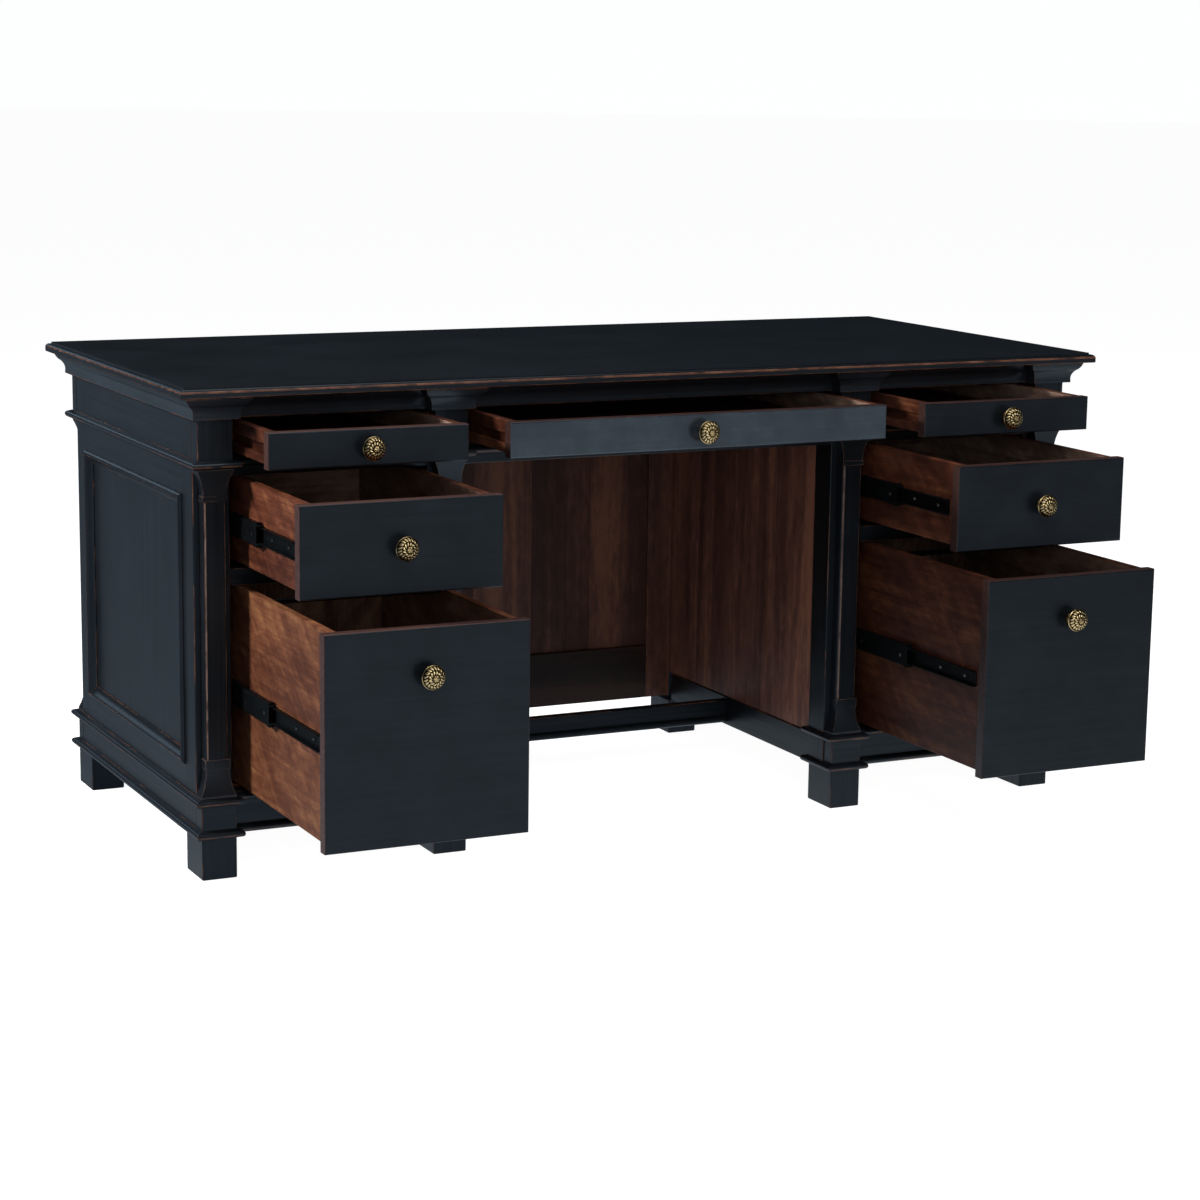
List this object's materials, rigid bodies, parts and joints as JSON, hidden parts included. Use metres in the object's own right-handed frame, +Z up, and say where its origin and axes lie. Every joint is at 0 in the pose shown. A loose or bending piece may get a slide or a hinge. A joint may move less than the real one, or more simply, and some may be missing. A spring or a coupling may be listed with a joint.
{
  "type": "pedestal desk",
  "caption": "Double-pedestal desk with a moulded top, pilasters on square feet, a kneehole, shallow frieze drawers on wooden runners, and box and file drawers on ball-bearing slides.",
  "frame": {"origin": "on the floor under the middle of the part's box, with the drawers open as they stand at rest", "axes": "+X to the right end of the desk as seen by the person facing its drawers, +Y from the drawers to the back, +Z up"},
  "size_m": [1.6764, 1.1434, 0.788],
  "materials": {
    "black_paint": "satin black paint, rubbed through to brown wood on its edges",
    "stained_wood": "reddish-brown stain, satin",
    "plain_wood": "bare",
    "antique_brass": "antique, dark in the recesses",
    "slide_steel": "black coated steel"
  },
  "bodies": {
    "carcase": {"back_panels": "black_paint", "cabinet_slides": "slide_steel", "cornice": "black_paint", "desk_top": "black_paint", "drawer_rails": "black_paint", "end_panel_mouldings": "black_paint", "end_panels": "black_paint", "end_rails": "black_paint", "feet": "black_paint", "frieze_blocks": "black_paint", "frieze_linings": "plain_wood", "frieze_runners": "plain_wood", "kneehole_walls": "stained_wood", "lower_base_moulding": "black_paint", "modesty_frame": "stained_wood", "modesty_panel": "stained_wood", "pedestal_floors": "plain_wood", "pilaster_bases": "black_paint", "pilaster_capitals": "black_paint", "pilaster_shafts": "black_paint", "plinth_blocks": "black_paint", "plinth_boards": "black_paint", "posts": "black_paint", "rear_frieze": "black_paint", "slide_packers": "plain_wood", "stop_battens": "plain_wood", "stretcher": "black_paint", "upper_base_moulding": "black_paint", "waist_moulding": "black_paint"},
    "centre_frieze_drawer": {"centre_frieze_box": "stained_wood", "centre_frieze_front": "black_paint", "centre_frieze_knob": "antique_brass"},
    "left_box_drawer": {"left_box_box": "stained_wood", "left_box_front": "black_paint", "left_box_knob": "antique_brass", "left_box_slides": "slide_steel"},
    "left_box_slide_mids": {"left_box_slide_mids": "slide_steel"},
    "left_file_drawer": {"left_file_bar": "slide_steel", "left_file_box": "stained_wood", "left_file_front": "black_paint", "left_file_knob": "antique_brass", "left_file_slides": "slide_steel"},
    "left_file_slide_mids": {"left_file_slide_mids": "slide_steel"},
    "left_frieze_drawer": {"left_frieze_box": "stained_wood", "left_frieze_front": "black_paint", "left_frieze_knob": "antique_brass"},
    "right_box_drawer": {"right_box_box": "stained_wood", "right_box_front": "black_paint", "right_box_knob": "antique_brass", "right_box_slides": "slide_steel"},
    "right_box_slide_mids": {"right_box_slide_mids": "slide_steel"},
    "right_file_drawer": {"right_file_bar": "slide_steel", "right_file_box": "stained_wood", "right_file_front": "black_paint", "right_file_knob": "antique_brass", "right_file_slides": "slide_steel"},
    "right_file_slide_mids": {"right_file_slide_mids": "slide_steel"},
    "right_frieze_drawer": {"right_frieze_box": "stained_wood", "right_frieze_front": "black_paint", "right_frieze_knob": "antique_brass"}
  },
  "joints": [
    {"name": "left_frieze_drawer_slide", "type": "slide", "parent": "carcase", "child": "left_frieze_drawer", "axis": [0, -1, 0], "range_m": [-0.173, 0.151]},
    {"name": "centre_frieze_drawer_slide", "type": "slide", "parent": "carcase", "child": "centre_frieze_drawer", "axis": [0, -1, 0], "range_m": [-0.179, 0.145]},
    {"name": "right_frieze_drawer_slide", "type": "slide", "parent": "carcase", "child": "right_frieze_drawer", "axis": [0, -1, 0], "range_m": [-0.19, 0.134]},
    {"name": "left_box_drawer_slide", "type": "slide", "parent": "carcase", "child": "left_box_drawer", "axis": [0, -1, 0], "range_m": [-0.307, 0.193]},
    {"name": "left_box_mids_slide", "type": "slide", "parent": "carcase", "child": "left_box_slide_mids", "axis": [0, -1, 0], "range_m": [-0.1535, 0.0965]},
    {"name": "right_box_drawer_slide", "type": "slide", "parent": "carcase", "child": "right_box_drawer", "axis": [0, -1, 0], "range_m": [-0.301, 0.199]},
    {"name": "right_box_mids_slide", "type": "slide", "parent": "carcase", "child": "right_box_slide_mids", "axis": [0, -1, 0], "range_m": [-0.1505, 0.0995]},
    {"name": "left_file_drawer_slide", "type": "slide", "parent": "carcase", "child": "left_file_drawer", "axis": [0, -1, 0], "range_m": [-0.409, 0.091]},
    {"name": "left_file_mids_slide", "type": "slide", "parent": "carcase", "child": "left_file_slide_mids", "axis": [0, -1, 0], "range_m": [-0.2045, 0.0455]},
    {"name": "right_file_drawer_slide", "type": "slide", "parent": "carcase", "child": "right_file_drawer", "axis": [0, -1, 0], "range_m": [-0.4, 0.1]},
    {"name": "right_file_mids_slide", "type": "slide", "parent": "carcase", "child": "right_file_slide_mids", "axis": [0, -1, 0], "range_m": [-0.2, 0.05]}
  ],
  "couplings": [
    {"joint": "left_box_mids_slide", "follows": "left_box_drawer_slide", "ratio": 0.5},
    {"joint": "right_box_mids_slide", "follows": "right_box_drawer_slide", "ratio": 0.5},
    {"joint": "left_file_mids_slide", "follows": "left_file_drawer_slide", "ratio": 0.5},
    {"joint": "right_file_mids_slide", "follows": "right_file_drawer_slide", "ratio": 0.5}
  ]
}
